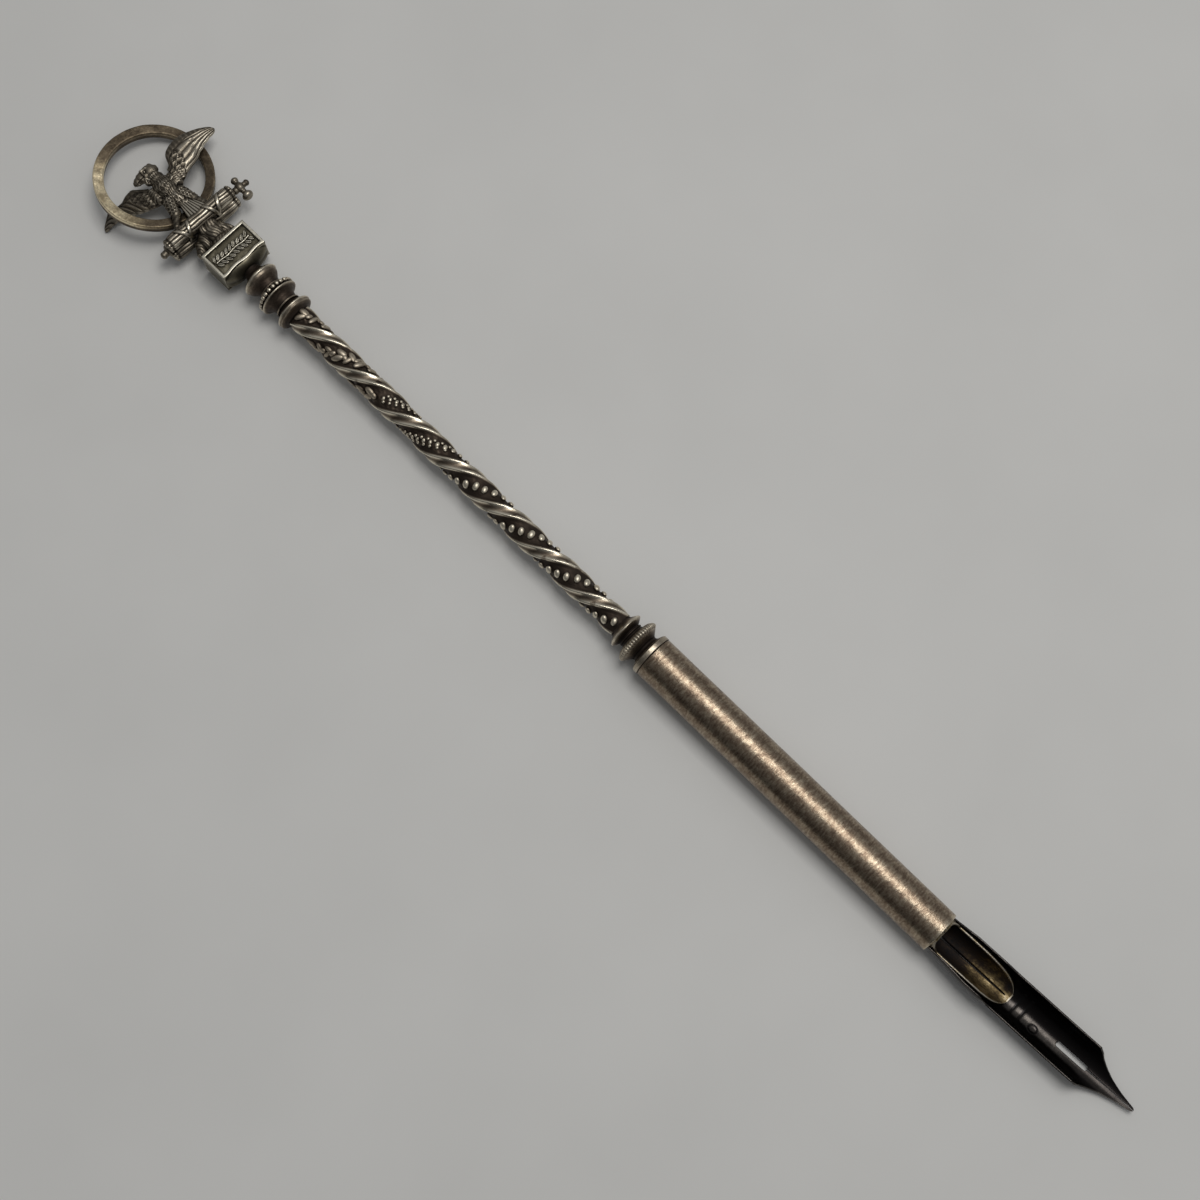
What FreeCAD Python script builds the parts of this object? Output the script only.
# Silver dip pen with an eagle finial: a turned and twisted handle, a plain tube barrel,
# a split brass tongue and a removable steel nib.
#
# Frame, in millimetres: the origin is the centre of the barrel's mouth, on the pen's axis.
# +X runs along the axis toward the nib's point, +Z is up as the pen lies on a table with
# the eagle's breast uppermost, and +Y completes the right-handed frame.
import FreeCAD, Part
import math
import os
from FreeCAD import Vector

# ---------------------------------------------------------------- driving dimensions
BARREL_LENGTH = 52.0
BARREL_R = 3.10
BARREL_WALL = 0.35
NIB_STEEL = 0.27
TONGUE_WALL = 0.30
RUNNING_GAP = 0.03

END_BAND_LENGTH = 0.9
END_BAND_R = 3.15
COVE_LENGTH = 0.77
WAIST_R = 1.80
MILLED_DISC_LENGTH = 2.43
MILLED_DISC_R = 3.42
KNIFE_DISC_LENGTH = 2.0
KNIFE_DISC_R = 2.82

SHAFT_LENGTH = 63.0
SHAFT_MEAN_R = 1.70
RIBBON_RISE = 0.26
RIDGE_RISE = 0.13
TWIST_PITCH = 18.0
TWIST_PHASE_DEG = 3.9
BEAD_R = 0.40
BEAD_SPACING = 1.30
BEAD_AXIS_R = 1.54
BEAD_ROW_LENGTH = 42.0
LEAF_SPACING = 1.75
LEAF_LENGTH = 1.5

THIN_KNOP_LENGTH = 2.2
THIN_KNOP_R = 2.86
BEADED_KNOP_LENGTH = 3.2
BEADED_KNOP_R = 3.08
PEARL_R = 0.36
PEARL_COUNT = 24
PLAIN_KNOP_LENGTH = 3.0
PLAIN_KNOP_R = 2.80
KNOP_GAP_LENGTH = 0.2
KNOP_NECK_LENGTH = 2.0
KNOP_NECK_R = 1.33

PLINTH_HEIGHT = 4.7
PLINTH_WIDTH = 7.9
PLINTH_DEPTH = 4.4
PLINTH_BASE_DROP = 1.1
PANEL_FRAME = 0.5
PANEL_RECESS = 0.35

SOCKET_LENGTH = 4.1
SOCKET_R = 1.5
BUNDLE_R = 1.2
BUNDLE_HALF_LENGTH = 6.3
BUNDLE_SPACING = 1.7
BUNDLE_FLUTES = 12
UPPER_STRAP = (2.4, 14)
LOWER_STRAP = (-2.4, -14)

RING_R = 8.62
RING_BAND = 1.45
RING_THICKNESS = 1.40
RING_TILT_DEG = 10.5
RING_DROP = 0.50

PIN_R = 0.8
NIB_INSERTION = 9.5
NIB_REACH = 33.0
TONGUE_REACH = 12.4

# ---------------------------------------------------------------- stations along the axis
BARREL_TOP = -BARREL_LENGTH
BAND_TOP = BARREL_TOP - END_BAND_LENGTH
COVE_TOP = BAND_TOP - COVE_LENGTH
MILLED_TOP = COVE_TOP - MILLED_DISC_LENGTH
SHAFT_END = MILLED_TOP - KNIFE_DISC_LENGTH
SHAFT_TOP = SHAFT_END - SHAFT_LENGTH
THIN_TOP = SHAFT_TOP - THIN_KNOP_LENGTH
BEADED_END = THIN_TOP - KNOP_GAP_LENGTH
BEADED_TOP = BEADED_END - BEADED_KNOP_LENGTH
PLAIN_END = BEADED_TOP - KNOP_GAP_LENGTH
PLAIN_TOP = PLAIN_END - PLAIN_KNOP_LENGTH
PLINTH_END = PLAIN_TOP - KNOP_NECK_LENGTH
PLINTH_TOP = PLINTH_END - PLINTH_HEIGHT
BUNDLE_X = PLINTH_TOP - SOCKET_LENGTH - 0.7
RING_X = BUNDLE_X - 10.0

AXIS = Vector(1, 0, 0)
ORIGIN = Vector(0, 0, 0)


# ---------------------------------------------------------------- helpers
def turned(profile):
    """Solid of revolution about the pen's axis; profile is [(x, r), ...] from end to end."""
    first = Vector(profile[0][0], 0, 0)
    last = Vector(profile[-1][0], 0, 0)
    points = [first] + [Vector(x, r, 0) for x, r in profile] + [last, first]
    return Part.Face(Part.makePolygon(points)).revolve(ORIGIN, AXIS, 360)


def turned_smooth(profile):
    """Solid of revolution whose outline is one smooth curve through the points."""
    curve = Part.BSplineCurve()
    curve.interpolate([Vector(x, r, 0) for x, r in profile])
    first = Vector(profile[0][0], 0, 0)
    last = Vector(profile[-1][0], 0, 0)
    edges = [
        Part.makeLine(first, curve.StartPoint),
        curve.toShape(),
        Part.makeLine(curve.EndPoint, last),
        Part.makeLine(last, first),
    ]
    return Part.Face(Part.Wire(edges)).revolve(ORIGIN, AXIS, 360)


def rod(x0, x1, r):
    """Cylinder on the pen's axis from x0 to x1."""
    return Part.makeCylinder(r, x1 - x0, Vector(x0, 0, 0), AXIS)


def block(x0, x1, y0, y1, z0, z1):
    """Rectangular block between two corners."""
    return Part.makeBox(x1 - x0, y1 - y0, z1 - z0, Vector(x0, y0, z0))


def ellipsoid(center, half_x, half_y, half_z):
    """Ellipsoid with its half-axes along X, Y and Z."""
    scale = FreeCAD.Matrix()
    scale.scale(half_x, half_y, half_z)
    solid = Part.makeSphere(1.0).transformGeometry(scale)
    solid.translate(Vector(*center))
    return solid


def blade(sections):
    """Loft through flat oval sections [(y, x_low, x_high, z_mid, thickness), ...]."""
    wires = []
    for y, x_low, x_high, z_mid, thickness in sections:
        half_chord = (x_high - x_low) / 2
        middle = Vector(x_low + half_chord, y, z_mid)
        oval = Part.Ellipse(
            middle + Vector(half_chord, 0, 0),
            middle + Vector(0, 0, thickness / 2),
            middle,
        )
        wires.append(Part.Wire(oval.toShape()))
    return Part.makeLoft(wires, True, False)


def oval_body(sections):
    """Loft through ovals square to X: [(x, y_mid, z_mid, half_y, half_z), ...]."""
    wires = []
    for x, y_mid, z_mid, half_y, half_z in sections:
        middle = Vector(x, y_mid, z_mid)
        long_axis = Vector(0, half_y, 0)
        short_axis = Vector(0, 0, half_z)
        oval = Part.Ellipse(middle + long_axis, middle + short_axis, middle)
        wires.append(Part.Wire(oval.toShape()))
    return Part.makeLoft(wires, True, False)


def joined(pieces):
    """Union of the pieces, added one after another."""
    whole = pieces[0]
    for piece in pieces[1:]:
        whole = whole.fuse(piece)
    return whole


def save(name, shape):
    """Write one piece to its own STEP file."""
    shape.exportStep("parts/" + name + ".step")


# ---------------------------------------------------------------- barrel and writing end
def barrel_tube():
    """Plain tube that the fingers hold, open at both ends."""
    tube = rod(BARREL_TOP, 0, BARREL_R)
    return tube.cut(rod(BARREL_TOP - 1, 1, BARREL_R - BARREL_WALL))


def barrel_plug():
    """Plug that closes the barrel's upper end and takes the lower pin."""
    plug = rod(BARREL_TOP, BARREL_TOP + 5, BARREL_R - BARREL_WALL)
    return plug.cut(rod(BARREL_TOP - 1, BARREL_TOP + 4, PIN_R))


HEEL_R = BARREL_R - BARREL_WALL - RUNNING_GAP
TONGUE_R = HEEL_R - NIB_STEEL - RUNNING_GAP


def slot_stop_ring():
    """Ring brazed in the barrel behind the nib's heel: it carries the tongue and stops the nib."""
    back = -NIB_INSERTION - 4.5
    front = -NIB_INSERTION - 0.2
    return rod(back, front, BARREL_R - BARREL_WALL).cut(rod(back - 1, front + 1, TONGUE_R))


def split_tongue():
    """Inner tube, open and scooped beyond the mouth, with a slit along its lowest line."""
    back = -NIB_INSERTION - 4.5
    tube = rod(back, TONGUE_REACH, TONGUE_R)
    tube = tube.cut(rod(back - 1, TONGUE_REACH + 1, TONGUE_R - TONGUE_WALL))
    scoop = Part.makePolygon([
        Vector(0.5, -4, 4),
        Vector(0.5, -4, 0),
        Vector(4.0, -4, 0),
        Vector(9.5, -4, -1.1),
        Vector(TONGUE_REACH + 0.05, -4, -TONGUE_R),
        Vector(TONGUE_REACH + 2, -4, 4),
        Vector(0.5, -4, 4),
    ])
    tube = tube.cut(Part.Face(scoop).extrude(Vector(0, 8, 0)))
    slit = block(0.4, TONGUE_REACH - 1.0, -0.13, 0.13, -4, 0)
    return tube.cut(slit)


def nib():
    """Steel nib, hollow side up: heel in the barrel, straight flanks, shoulders, slit point."""
    flank_r = 3.04
    shell = [
        (-NIB_INSERTION, HEEL_R),
        (0.3, HEEL_R),
        (4.0, flank_r),
        (NIB_REACH, flank_r),
    ]
    outer = turned(shell)
    inner = turned([(x, r - NIB_STEEL) for x, r in shell])
    body = outer.cut(inner)

    # the hollow side: the heel keeps its side walls, the flanks stop at the axis
    body = body.cut(block(-NIB_INSERTION - 1, 9.6, -4, 4, 0.75, 4))
    body = body.cut(block(9.6, 11.2, -4, 4, 0.3, 4))
    body = body.cut(block(11.2, NIB_REACH + 1, -4, 4, -0.05, 4))

    # outline seen from above: shoulders, then hollow curves down to the blunt point
    shoulder = 24.6
    half = [
        Vector(shoulder, 3.2, 0),
        Vector(25.9, 2.46, 0),
        Vector(27.2, 1.83, 0),
        Vector(28.5, 1.30, 0),
        Vector(30.3, 0.78, 0),
        Vector(31.8, 0.48, 0),
        Vector(NIB_REACH, 0.30, 0),
    ]
    side = Part.BSplineCurve()
    side.interpolate(half)
    mirror = Part.BSplineCurve()
    mirror.interpolate([Vector(p.x, -p.y, 0) for p in half])
    heel_x = -NIB_INSERTION - 1
    edges = [
        Part.makeLine(Vector(heel_x, -3.2, 0), Vector(heel_x, 3.2, 0)),
        Part.makeLine(Vector(heel_x, 3.2, 0), half[0]),
        side.toShape(),
        Part.makeLine(half[-1], Vector(NIB_REACH, -half[-1].y, 0)),
        mirror.toShape(),
        Part.makeLine(Vector(shoulder, -3.2, 0), Vector(heel_x, -3.2, 0)),
    ]
    outline = Part.Face(Part.Wire(Part.__sortEdges__(edges)))
    outline.translate(Vector(0, 0, -4))
    body = body.common(outline.extrude(Vector(0, 0, 6)))

    # the pierced slot with a round heel end, and the hair slit to the point
    slot_start = 20.4
    slot_end = 25.4
    slot_half = 0.3
    slot = block(slot_start + slot_half, slot_end, -slot_half, slot_half, -4, 0)
    slot = slot.fuse(Part.makeCylinder(slot_half, 4, Vector(slot_start + slot_half, 0, -4)))
    body = body.cut(slot)
    return body.cut(block(slot_end - 0.1, NIB_REACH + 1, -0.035, 0.035, -4, 0))


# ---------------------------------------------------------------- lower collars
def end_band():
    """Flat band that finishes the handle against the barrel."""
    ring = turned([
        (BAND_TOP, END_BAND_R - 0.12),
        (BAND_TOP + 0.12, END_BAND_R),
        (BARREL_TOP - 0.1, END_BAND_R),
        (BARREL_TOP, END_BAND_R - 0.08),
    ])
    return ring.cut(rod(BAND_TOP - 1, BARREL_TOP + 1, PIN_R))


def cove_ring():
    """Hollow-sided ring between the milled disc and the end band."""
    ring = turned_smooth([
        (COVE_TOP, 2.04),
        (COVE_TOP + 0.3, 2.1),
        (COVE_TOP + 0.55, 2.42),
        (BAND_TOP, 2.95),
    ])
    return ring.cut(rod(COVE_TOP - 1, BAND_TOP + 1, PIN_R))


def milled_disc():
    """Sharp-edged disc with a milled rim."""
    peak = MILLED_TOP + 0.54 * MILLED_DISC_LENGTH
    disc = turned([
        (MILLED_TOP, WAIST_R),
        (peak - 0.12, MILLED_DISC_R),
        (peak + 0.12, MILLED_DISC_R),
        (COVE_TOP, 2.04),
    ])
    disc = disc.cut(rod(MILLED_TOP - 1, COVE_TOP + 1, PIN_R))
    nick = Part.makeCylinder(0.14, 1.6, Vector(peak - 0.8, MILLED_DISC_R + 0.05, 0), AXIS)
    nicks = []
    count = 40
    for index in range(count):
        turned_nick = nick.copy()
        turned_nick.rotate(ORIGIN, AXIS, 360.0 * index / count)
        nicks.append(turned_nick)
    return disc.cut(Part.makeCompound(nicks))


def knife_disc():
    """Plain sharp-edged disc at the shaft's lower end."""
    peak = SHAFT_END + 0.5 * KNIFE_DISC_LENGTH
    disc = turned([
        (SHAFT_END, WAIST_R - 0.1),
        (peak - 0.1, KNIFE_DISC_R),
        (peak + 0.1, KNIFE_DISC_R),
        (MILLED_TOP, WAIST_R),
    ])
    return disc.cut(rod(SHAFT_END - 1, MILLED_TOP + 1, PIN_R))


def lower_pin():
    """Pin that strings the lower collars between the shaft and the barrel's plug."""
    return rod(SHAFT_END - 5, BARREL_TOP + 4, PIN_R)


# ---------------------------------------------------------------- twisted shaft
def shaft_radius(angle):
    """Outline of the shaft's section: two ribbons, each with two ridges, and two hollows."""
    return SHAFT_MEAN_R + RIBBON_RISE * math.cos(2 * angle) - RIDGE_RISE * math.cos(4 * angle)


def helix_point(x, radius, start_deg):
    """Point at distance radius from the axis, turned with the shaft's left-hand twist."""
    turn = -2 * math.pi * (x - SHAFT_TOP) / TWIST_PITCH
    angle = turn + math.radians(start_deg + TWIST_PHASE_DEG)
    return Vector(x, radius * math.cos(angle), radius * math.sin(angle))


def twisted_shaft():
    """Shaft with two ribbons that wind round it, drilled at both ends for the pins."""
    section_points = 48
    points = []
    for index in range(section_points):
        angle = 2 * math.pi * index / section_points
        turned_angle = angle + math.radians(TWIST_PHASE_DEG)
        r = shaft_radius(angle)
        points.append(Vector(SHAFT_TOP, r * math.cos(turned_angle), r * math.sin(turned_angle)))
    outline = Part.BSplineCurve()
    outline.interpolate(points, PeriodicFlag=True)
    section = Part.Wire(outline.toShape())
    spine = Part.Wire(Part.makeLine(Vector(SHAFT_TOP, 0, 0), Vector(SHAFT_END, 0, 0)))
    guide = Part.makeLongHelix(TWIST_PITCH, SHAFT_LENGTH, 5.0, 0, True)
    guide.rotate(ORIGIN, Vector(0, 1, 0), 90)
    guide.translate(Vector(SHAFT_TOP, 0, 0))
    sweep = Part.BRepOffsetAPI.MakePipeShell(spine)
    sweep.setAuxiliarySpine(Part.Wire(guide.Edges), True, 0)
    sweep.add(section, False, False)
    sweep.build()
    sweep.makeSolid()
    shaft = sweep.shape()
    shaft = shaft.cut(rod(SHAFT_TOP - 1, SHAFT_TOP + 4, PIN_R))
    return shaft.cut(rod(SHAFT_END - 5, SHAFT_END + 1, PIN_R))


def bead_row(start_deg):
    """Row of round grains soldered along one hollow of the twist."""
    step = BEAD_SPACING * TWIST_PITCH / math.hypot(TWIST_PITCH, 2 * math.pi * BEAD_AXIS_R)
    count = int(BEAD_ROW_LENGTH / step)
    first_x = SHAFT_END - 1.0
    grains = []
    for index in range(count):
        place = helix_point(first_x - index * step, BEAD_AXIS_R, start_deg)
        grains.append(Part.makeSphere(BEAD_R, place))
    return Part.makeCompound(grains)


def leaf_row(start_deg):
    """Row of small leaves along one hollow, at the shaft's upper end."""
    count = int((SHAFT_LENGTH - BEAD_ROW_LENGTH - 3.0) / LEAF_SPACING)
    lean = math.degrees(math.atan2(2 * math.pi * BEAD_AXIS_R, TWIST_PITCH))
    leaves = []
    for index in range(count):
        x = SHAFT_TOP + 1.4 + index * LEAF_SPACING
        leaf = ellipsoid((0, 0, 0), LEAF_LENGTH / 2, 0.5, 0.34)
        leaf.rotate(ORIGIN, Vector(0, 0, 1), lean)
        place = helix_point(x, SHAFT_MEAN_R - 0.12, start_deg)
        around = math.degrees(math.atan2(place.z, place.y)) - 90
        leaf.rotate(ORIGIN, AXIS, around)
        leaf.translate(place)
        leaves.append(leaf)
    return Part.makeCompound(leaves)


# ---------------------------------------------------------------- upper knops
def thin_knop():
    """Thin rounded disc against the shaft."""
    length = THIN_KNOP_LENGTH
    knop = turned_smooth([
        (THIN_TOP, 2.1),
        (THIN_TOP + 0.3 * length, 2.5),
        (THIN_TOP + 0.52 * length, THIN_KNOP_R),
        (THIN_TOP + 0.72 * length, 2.6),
        (SHAFT_TOP, 1.75),
    ])
    return knop.cut(rod(THIN_TOP - 1, SHAFT_TOP + 1, PIN_R))


def beaded_knop():
    """Middle knop: a groove for the pearls, a plain rim and a bowl-shaped underside."""
    x = BEADED_TOP
    knop = turned([
        (x, 1.95),
        (x + 0.45, 2.55),
        (x + 1.15, 2.62),
        (x + 1.25, BEADED_KNOP_R),
        (x + 1.75, BEADED_KNOP_R),
        (x + 2.3, 2.8),
        (x + 2.8, 2.4),
        (BEADED_END, 2.05),
    ])
    return knop.cut(rod(BEADED_TOP - 1, BEADED_END + 1, PIN_R))


def pearl_ring():
    """Ring of small pearls seated round the middle knop."""
    pearls = []
    place = Vector(BEADED_TOP + 0.8, BEADED_KNOP_R - PEARL_R, 0)
    for index in range(PEARL_COUNT):
        pearl = Part.makeSphere(PEARL_R, place)
        pearl.rotate(ORIGIN, AXIS, 360.0 * index / PEARL_COUNT)
        pearls.append(pearl)
    return Part.makeCompound(pearls)


def plain_knop():
    """First knop below the plinth, with its narrow neck."""
    knop = turned_smooth([
        (PLINTH_END + 0.9, KNOP_NECK_R + 0.05),
        (PLAIN_TOP - 0.9, KNOP_NECK_R),
        (PLAIN_TOP, 1.75),
        (PLAIN_TOP + 0.55 * PLAIN_KNOP_LENGTH, PLAIN_KNOP_R),
        (PLAIN_TOP + 0.8 * PLAIN_KNOP_LENGTH, 2.45),
        (PLAIN_END, 1.95),
    ])
    return knop.cut(rod(PLINTH_END - 1, PLAIN_END + 1, PIN_R))


def knop_spacer(x0, outer_r):
    """Washer between two knops."""
    return rod(x0, x0 + KNOP_GAP_LENGTH, outer_r).cut(rod(x0 - 1, x0 + 1, PIN_R))


def knop_pin():
    """Pin that strings the knops between the plinth and the shaft."""
    return rod(PLINTH_END - 2.5, SHAFT_TOP + 4, PIN_R)


# ---------------------------------------------------------------- plinth
def plinth_block():
    """Block of the plinth, with a recess in its front and back and a hole for each pin."""
    half_w = PLINTH_WIDTH / 2
    half_d = PLINTH_DEPTH / 2
    body = block(PLINTH_TOP, PLINTH_END, -half_w, half_w, -half_d, half_d)
    body = body.cut(panel_pocket(half_d - PANEL_RECESS, half_d + 1))
    body = body.cut(panel_pocket(-half_d - 1, -half_d + PANEL_RECESS))
    body = body.cut(rod(PLINTH_END - 2.5, PLINTH_END + 1, PIN_R))
    return body.cut(rod(PLINTH_TOP - 1, PLINTH_TOP + 1.0, PIN_R))


def panel_pocket(z0, z1):
    """Recess inside the plinth's raised border, between two depths."""
    half_w = PLINTH_WIDTH / 2 - PANEL_FRAME
    return block(PLINTH_TOP + PANEL_FRAME, PLINTH_END - PANEL_FRAME, -half_w, half_w, z0, z1)


def front_panel():
    """Chased plate let into the plinth's front: a lozenge between two round bosses."""
    back = PLINTH_DEPTH / 2 - PANEL_RECESS
    middle = (PLINTH_TOP + PLINTH_END) / 2
    plate = panel_pocket(back, back + 0.12)
    lozenge = Part.makePolygon([
        Vector(middle - 1.2, 0, back),
        Vector(middle, 1.5, back),
        Vector(middle + 1.2, 0, back),
        Vector(middle, -1.5, back),
        Vector(middle - 1.2, 0, back),
    ])
    plate = plate.fuse(Part.Face(lozenge).extrude(Vector(0, 0, 0.3)))
    for side in (-1, 1):
        boss = Part.makeCylinder(0.55, 0.3, Vector(middle, side * 2.45, back))
        plate = plate.fuse(boss)
    return plate


def back_panel():
    """Plain plate let into the plinth's back."""
    front = -PLINTH_DEPTH / 2 + PANEL_RECESS
    return panel_pocket(front - 0.2, front)


def plinth_base():
    """Rounded moulding under the plinth, hollowed for the knop's neck."""
    middle = (PLINTH_END, 0, 0)
    dome = ellipsoid(middle, PLINTH_BASE_DROP, PLINTH_WIDTH / 2 - 0.1, PLINTH_DEPTH / 2 - 0.1)
    dome = dome.common(block(PLINTH_END, PLINTH_END + 3, -5, 5, -5, 5))
    return dome.cut(rod(PLINTH_END + 0.9, PLINTH_END + 3, KNOP_NECK_R + 0.06)).cut(
        rod(PLINTH_END - 1, PLINTH_END + 3, PIN_R))


# ---------------------------------------------------------------- thunderbolt
def bundle(z_mid):
    """Half of the fluted thunderbolt across the axis, soldered to the other half at z = 0."""
    spindle = Part.makeCylinder(
        BUNDLE_R, 2 * BUNDLE_HALF_LENGTH, Vector(BUNDLE_X, -BUNDLE_HALF_LENGTH, z_mid), Vector(0, 1, 0))
    spindle = spindle.makeFillet(0.55, [e for e in spindle.Edges if e.Closed])
    flutes = []
    for index in range(BUNDLE_FLUTES):
        angle = 2 * math.pi * (index + 0.5) / BUNDLE_FLUTES
        place = Vector(
            BUNDLE_X + (BUNDLE_R + 0.06) * math.cos(angle),
            -BUNDLE_HALF_LENGTH - 1,
            z_mid + (BUNDLE_R + 0.06) * math.sin(angle))
        flutes.append(Part.makeCylinder(0.2, 2 * BUNDLE_HALF_LENGTH + 2, place, Vector(0, 1, 0)))
    spindle = spindle.cut(Part.makeCompound(flutes))
    side = math.copysign(5, z_mid)
    half_space = block(BUNDLE_X - 5, BUNDLE_X + 5, -9, 9, min(0, side), max(0, side))
    return spindle.common(half_space)


def binding_strap(y_mid, lean_deg):
    """Flat strap tied round both bundles, leaning across them."""
    outer = strap_loop(BUNDLE_R + 0.18)
    strap = outer.cut(strap_loop(BUNDLE_R))
    strap.translate(Vector(BUNDLE_X, y_mid, 0))
    strap.rotate(Vector(BUNDLE_X, y_mid, 0), Vector(0, 0, 1), lean_deg)
    return strap.cut(bundle_cores())


def strap_loop(radius):
    """Stadium-shaped slab across the axis that encloses both bundles."""
    half = BUNDLE_SPACING / 2
    width = 0.7
    low = Part.makeCylinder(radius, width, Vector(0, -width / 2, -half), Vector(0, 1, 0))
    high = Part.makeCylinder(radius, width, Vector(0, -width / 2, half), Vector(0, 1, 0))
    middle = block(-radius, radius, -width / 2, width / 2, -half, half)
    return joined([low, high, middle]).removeSplitter()


def upper_terminal():
    """Trefoil of balls on the bundle's +Y end."""
    y = BUNDLE_HALF_LENGTH
    stem = Part.makeCylinder(0.6, 1.6, Vector(BUNDLE_X, y, 0), Vector(0, 1, 0))
    balls = [
        Part.makeSphere(0.85, Vector(BUNDLE_X + 1.75, y + 1.25, 0)),
        Part.makeSphere(0.62, Vector(BUNDLE_X - 1.2, y + 1.35, 0)),
        Part.makeSphere(0.5, Vector(BUNDLE_X, y + 2.3, 0)),
        Part.makeSphere(0.75, Vector(BUNDLE_X, y + 1.3, 0)),
        Part.makeCylinder(0.4, 2.6, Vector(BUNDLE_X - 1.1, y + 1.3, 0), AXIS),
    ]
    return joined([stem] + balls)


def lower_terminal():
    """Collar and button on the bundle's -Y end."""
    y = -BUNDLE_HALF_LENGTH
    collar = Part.makeCylinder(0.8, 0.4, Vector(BUNDLE_X, y - 0.4, 0), Vector(0, 1, 0))
    return collar.fuse(Part.makeSphere(0.55, Vector(BUNDLE_X, y - 0.8, 0)))


def bundle_socket():
    """Short neck that seats the thunderbolt on the plinth."""
    neck = turned_smooth([
        (BUNDLE_X + 0.2, SOCKET_R),
        (BUNDLE_X + 1.9, SOCKET_R - 0.15),
        (PLINTH_TOP, SOCKET_R + 0.15),
    ])
    neck = neck.fuse(rod(PLINTH_TOP - 0.5, PLINTH_TOP + 1.0, PIN_R))
    for z in (-BUNDLE_SPACING / 2, BUNDLE_SPACING / 2):
        neck = neck.cut(Part.makeCylinder(BUNDLE_R, 8, Vector(BUNDLE_X, -4, z), Vector(0, 1, 0)))
    return neck


# ---------------------------------------------------------------- eagle and ring
BODY_X = RING_X + 3.7


def eagle_body():
    """Tail, breast, neck and head in one casting, the hooked beak turned to -Y."""
    x = BODY_X
    figure = oval_body([
        (BUNDLE_X - 1.3, 0.75, 0.75, 1.75, 0.35),
        (x + 3.6, 0.4, 0.75, 1.3, 0.42),
        (x + 2.4, 0.1, 0.6, 0.95, 0.8),
        (x + 0.6, -0.1, 0.3, 1.5, 1.35),
        (x - 1.2, -0.1, 0.2, 1.75, 1.6),
        (x - 2.8, 0.0, 0.4, 1.25, 1.2),
        (x - 3.8, 0.0, 0.6, 0.9, 0.85),
        (x - 4.7, -0.3, 0.7, 1.3, 0.95),
        (x - 5.5, -0.3, 0.7, 1.25, 0.8),
        (x - 5.9, -0.3, 0.7, 0.7, 0.4),
    ])
    beak = Part.makeCone(0.6, 0.2, 1.5, Vector(x - 5.0, -1.1, 0.7), Vector(0.15, -1, 0))
    figure = figure.fuse(beak).cut(wreath_ring()).cut(bundle_cores())
    return figure.cut(binding_strap(*UPPER_STRAP))


def right_wing():
    """Raised wing on the +Y side, standing in front of the ring."""
    x = RING_X
    wing = blade([
        (1.3, x + 1.2, x + 4.9, 0.20, 1.5),
        (2.9, x - 0.4, x + 4.2, 0.35, 1.3),
        (4.5, x - 1.8, x + 3.4, 0.40, 1.2),
        (6.2, x - 1.9, x + 2.8, 0.30, 1.1),
        (7.9, x - 1.6, x + 2.1, 0.15, 1.0),
        (9.5, x - 1.0, x + 1.4, 0.00, 0.85),
        (10.7, x - 0.2, x + 1.0, -0.10, 0.65),
        (11.15, x + 0.2, x + 0.8, -0.12, 0.45),
    ])
    return wing.cut(eagle_body())


def left_wing():
    """Lowered wing on the -Y side, passing behind the ring and touching the table."""
    x = RING_X
    wing = blade([
        (-1.3, x + 1.2, x + 5.6, 0.00, 1.5),
        (-3.0, x - 0.4, x + 4.2, -0.45, 1.3),
        (-4.8, x - 0.9, x + 3.0, -1.05, 1.2),
        (-6.6, x - 1.35, x + 1.45, -1.75, 1.1),
        (-8.0, x - 1.6, x + 0.35, -2.3, 0.95),
        (-9.4, x - 0.8, x + 0.25, -2.75, 0.75),
        (-10.2, x - 0.35, x + 0.2, -3.0, 0.5),
    ])
    return wing.cut(eagle_body())


def leg(y_top, y_foot, z_foot):
    """Thigh, shank and a foot of three toes that grip the thunderbolt."""
    hip = Vector(BODY_X + 1.6, y_top, 0.7)
    foot = Vector(BUNDLE_X - BUNDLE_R + 0.1, y_foot, z_foot)
    shank = foot - hip
    solid = Part.makeCone(0.75, 0.42, shank.Length, hip, shank)
    for spread in (-0.55, 0, 0.55):
        toe = Part.makeSphere(0.42, foot + Vector(0.1, spread, 0.25))
        solid = solid.fuse(toe)
    return solid


def right_leg():
    """Leg on the +Y side, trimmed where it meets the body, the thunderbolt and the upper strap."""
    solid = leg(1.2, 2.3, 1.0)
    solid = solid.cut(eagle_body()).cut(bundle_cores()).cut(wreath_ring())
    return solid.cut(binding_strap(*UPPER_STRAP))


def left_leg():
    """Leg on the -Y side, trimmed where it meets the body, the thunderbolt and the lower strap."""
    solid = leg(-1.4, -3.3, 1.6)
    solid = solid.cut(eagle_body()).cut(bundle_cores()).cut(wreath_ring())
    return solid.cut(binding_strap(*LOWER_STRAP))


def bundle_cores():
    """Plain cylinders that fill both bundles, used to trim what stands on them."""
    start = -BUNDLE_HALF_LENGTH
    cores = []
    for z in (-BUNDLE_SPACING / 2, BUNDLE_SPACING / 2):
        place = Vector(BUNDLE_X, start, z)
        cores.append(Part.makeCylinder(BUNDLE_R, 2 * BUNDLE_HALF_LENGTH, place, Vector(0, 1, 0)))
    return cores[0].fuse(cores[1])


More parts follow.
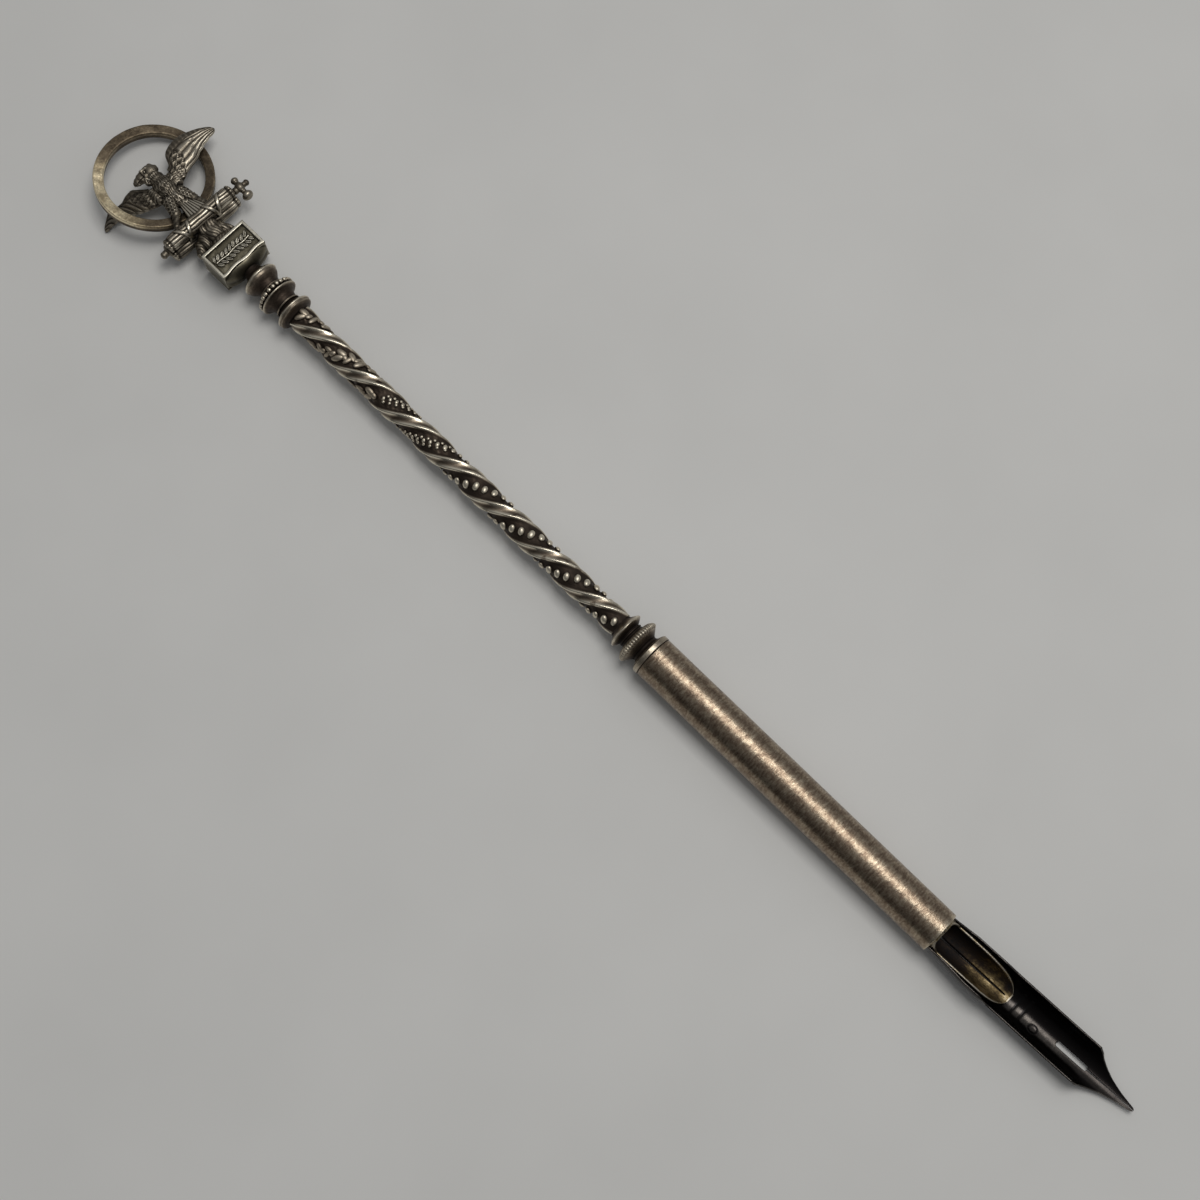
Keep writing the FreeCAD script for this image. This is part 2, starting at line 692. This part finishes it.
def wreath_ring():
    """Plain hoop round both wings, lower on the +Y side, its band resting on the table there."""
    middle = Vector(RING_X, 0, -RING_DROP)
    base = middle - Vector(0, 0, RING_THICKNESS / 2)
    ring = Part.makeCylinder(RING_R, RING_THICKNESS, base)
    ring = ring.cut(Part.makeCylinder(RING_R - RING_BAND, RING_THICKNESS + 2, base - Vector(0, 0, 1)))
    edges = [e for e in ring.Edges if e.Closed]
    ring = ring.makeFillet(0.2, edges)
    ring.rotate(middle, AXIS, -RING_TILT_DEG)
    return ring


def main():
    os.makedirs("parts", exist_ok=True)
    save("barrel_tube", barrel_tube())
    save("barrel_plug", barrel_plug())
    save("slot_stop_ring", slot_stop_ring())
    save("split_tongue", split_tongue())
    save("nib", nib())
    save("end_band", end_band())
    save("cove_ring", cove_ring())
    save("milled_disc", milled_disc())
    save("knife_disc", knife_disc())
    save("lower_pin", lower_pin())
    save("twisted_shaft", twisted_shaft())
    save("bead_row_one", bead_row(90))
    save("bead_row_two", bead_row(270))
    save("leaf_row_one", leaf_row(90))
    save("leaf_row_two", leaf_row(270))
    save("thin_knop", thin_knop())
    save("beaded_knop", beaded_knop())
    save("pearl_ring", pearl_ring())
    save("plain_knop", plain_knop())
    save("lower_washer", knop_spacer(BEADED_END, 2.0))
    save("upper_washer", knop_spacer(PLAIN_END, 1.85))
    save("knop_pin", knop_pin())
    save("plinth_block", plinth_block())
    save("front_panel", front_panel())
    save("back_panel", back_panel())
    save("plinth_base", plinth_base())
    save("bundle_socket", bundle_socket())
    save("front_bundle", bundle(BUNDLE_SPACING / 2))
    save("rear_bundle", bundle(-BUNDLE_SPACING / 2))
    save("upper_strap", binding_strap(*UPPER_STRAP))
    save("lower_strap", binding_strap(*LOWER_STRAP))
    save("upper_terminal", upper_terminal())
    save("lower_terminal", lower_terminal())
    save("eagle_body", eagle_body())
    save("right_wing", right_wing())
    save("left_wing", left_wing())
    save("right_leg", right_leg())
    save("left_leg", left_leg())
    save("wreath_ring", wreath_ring())


main()
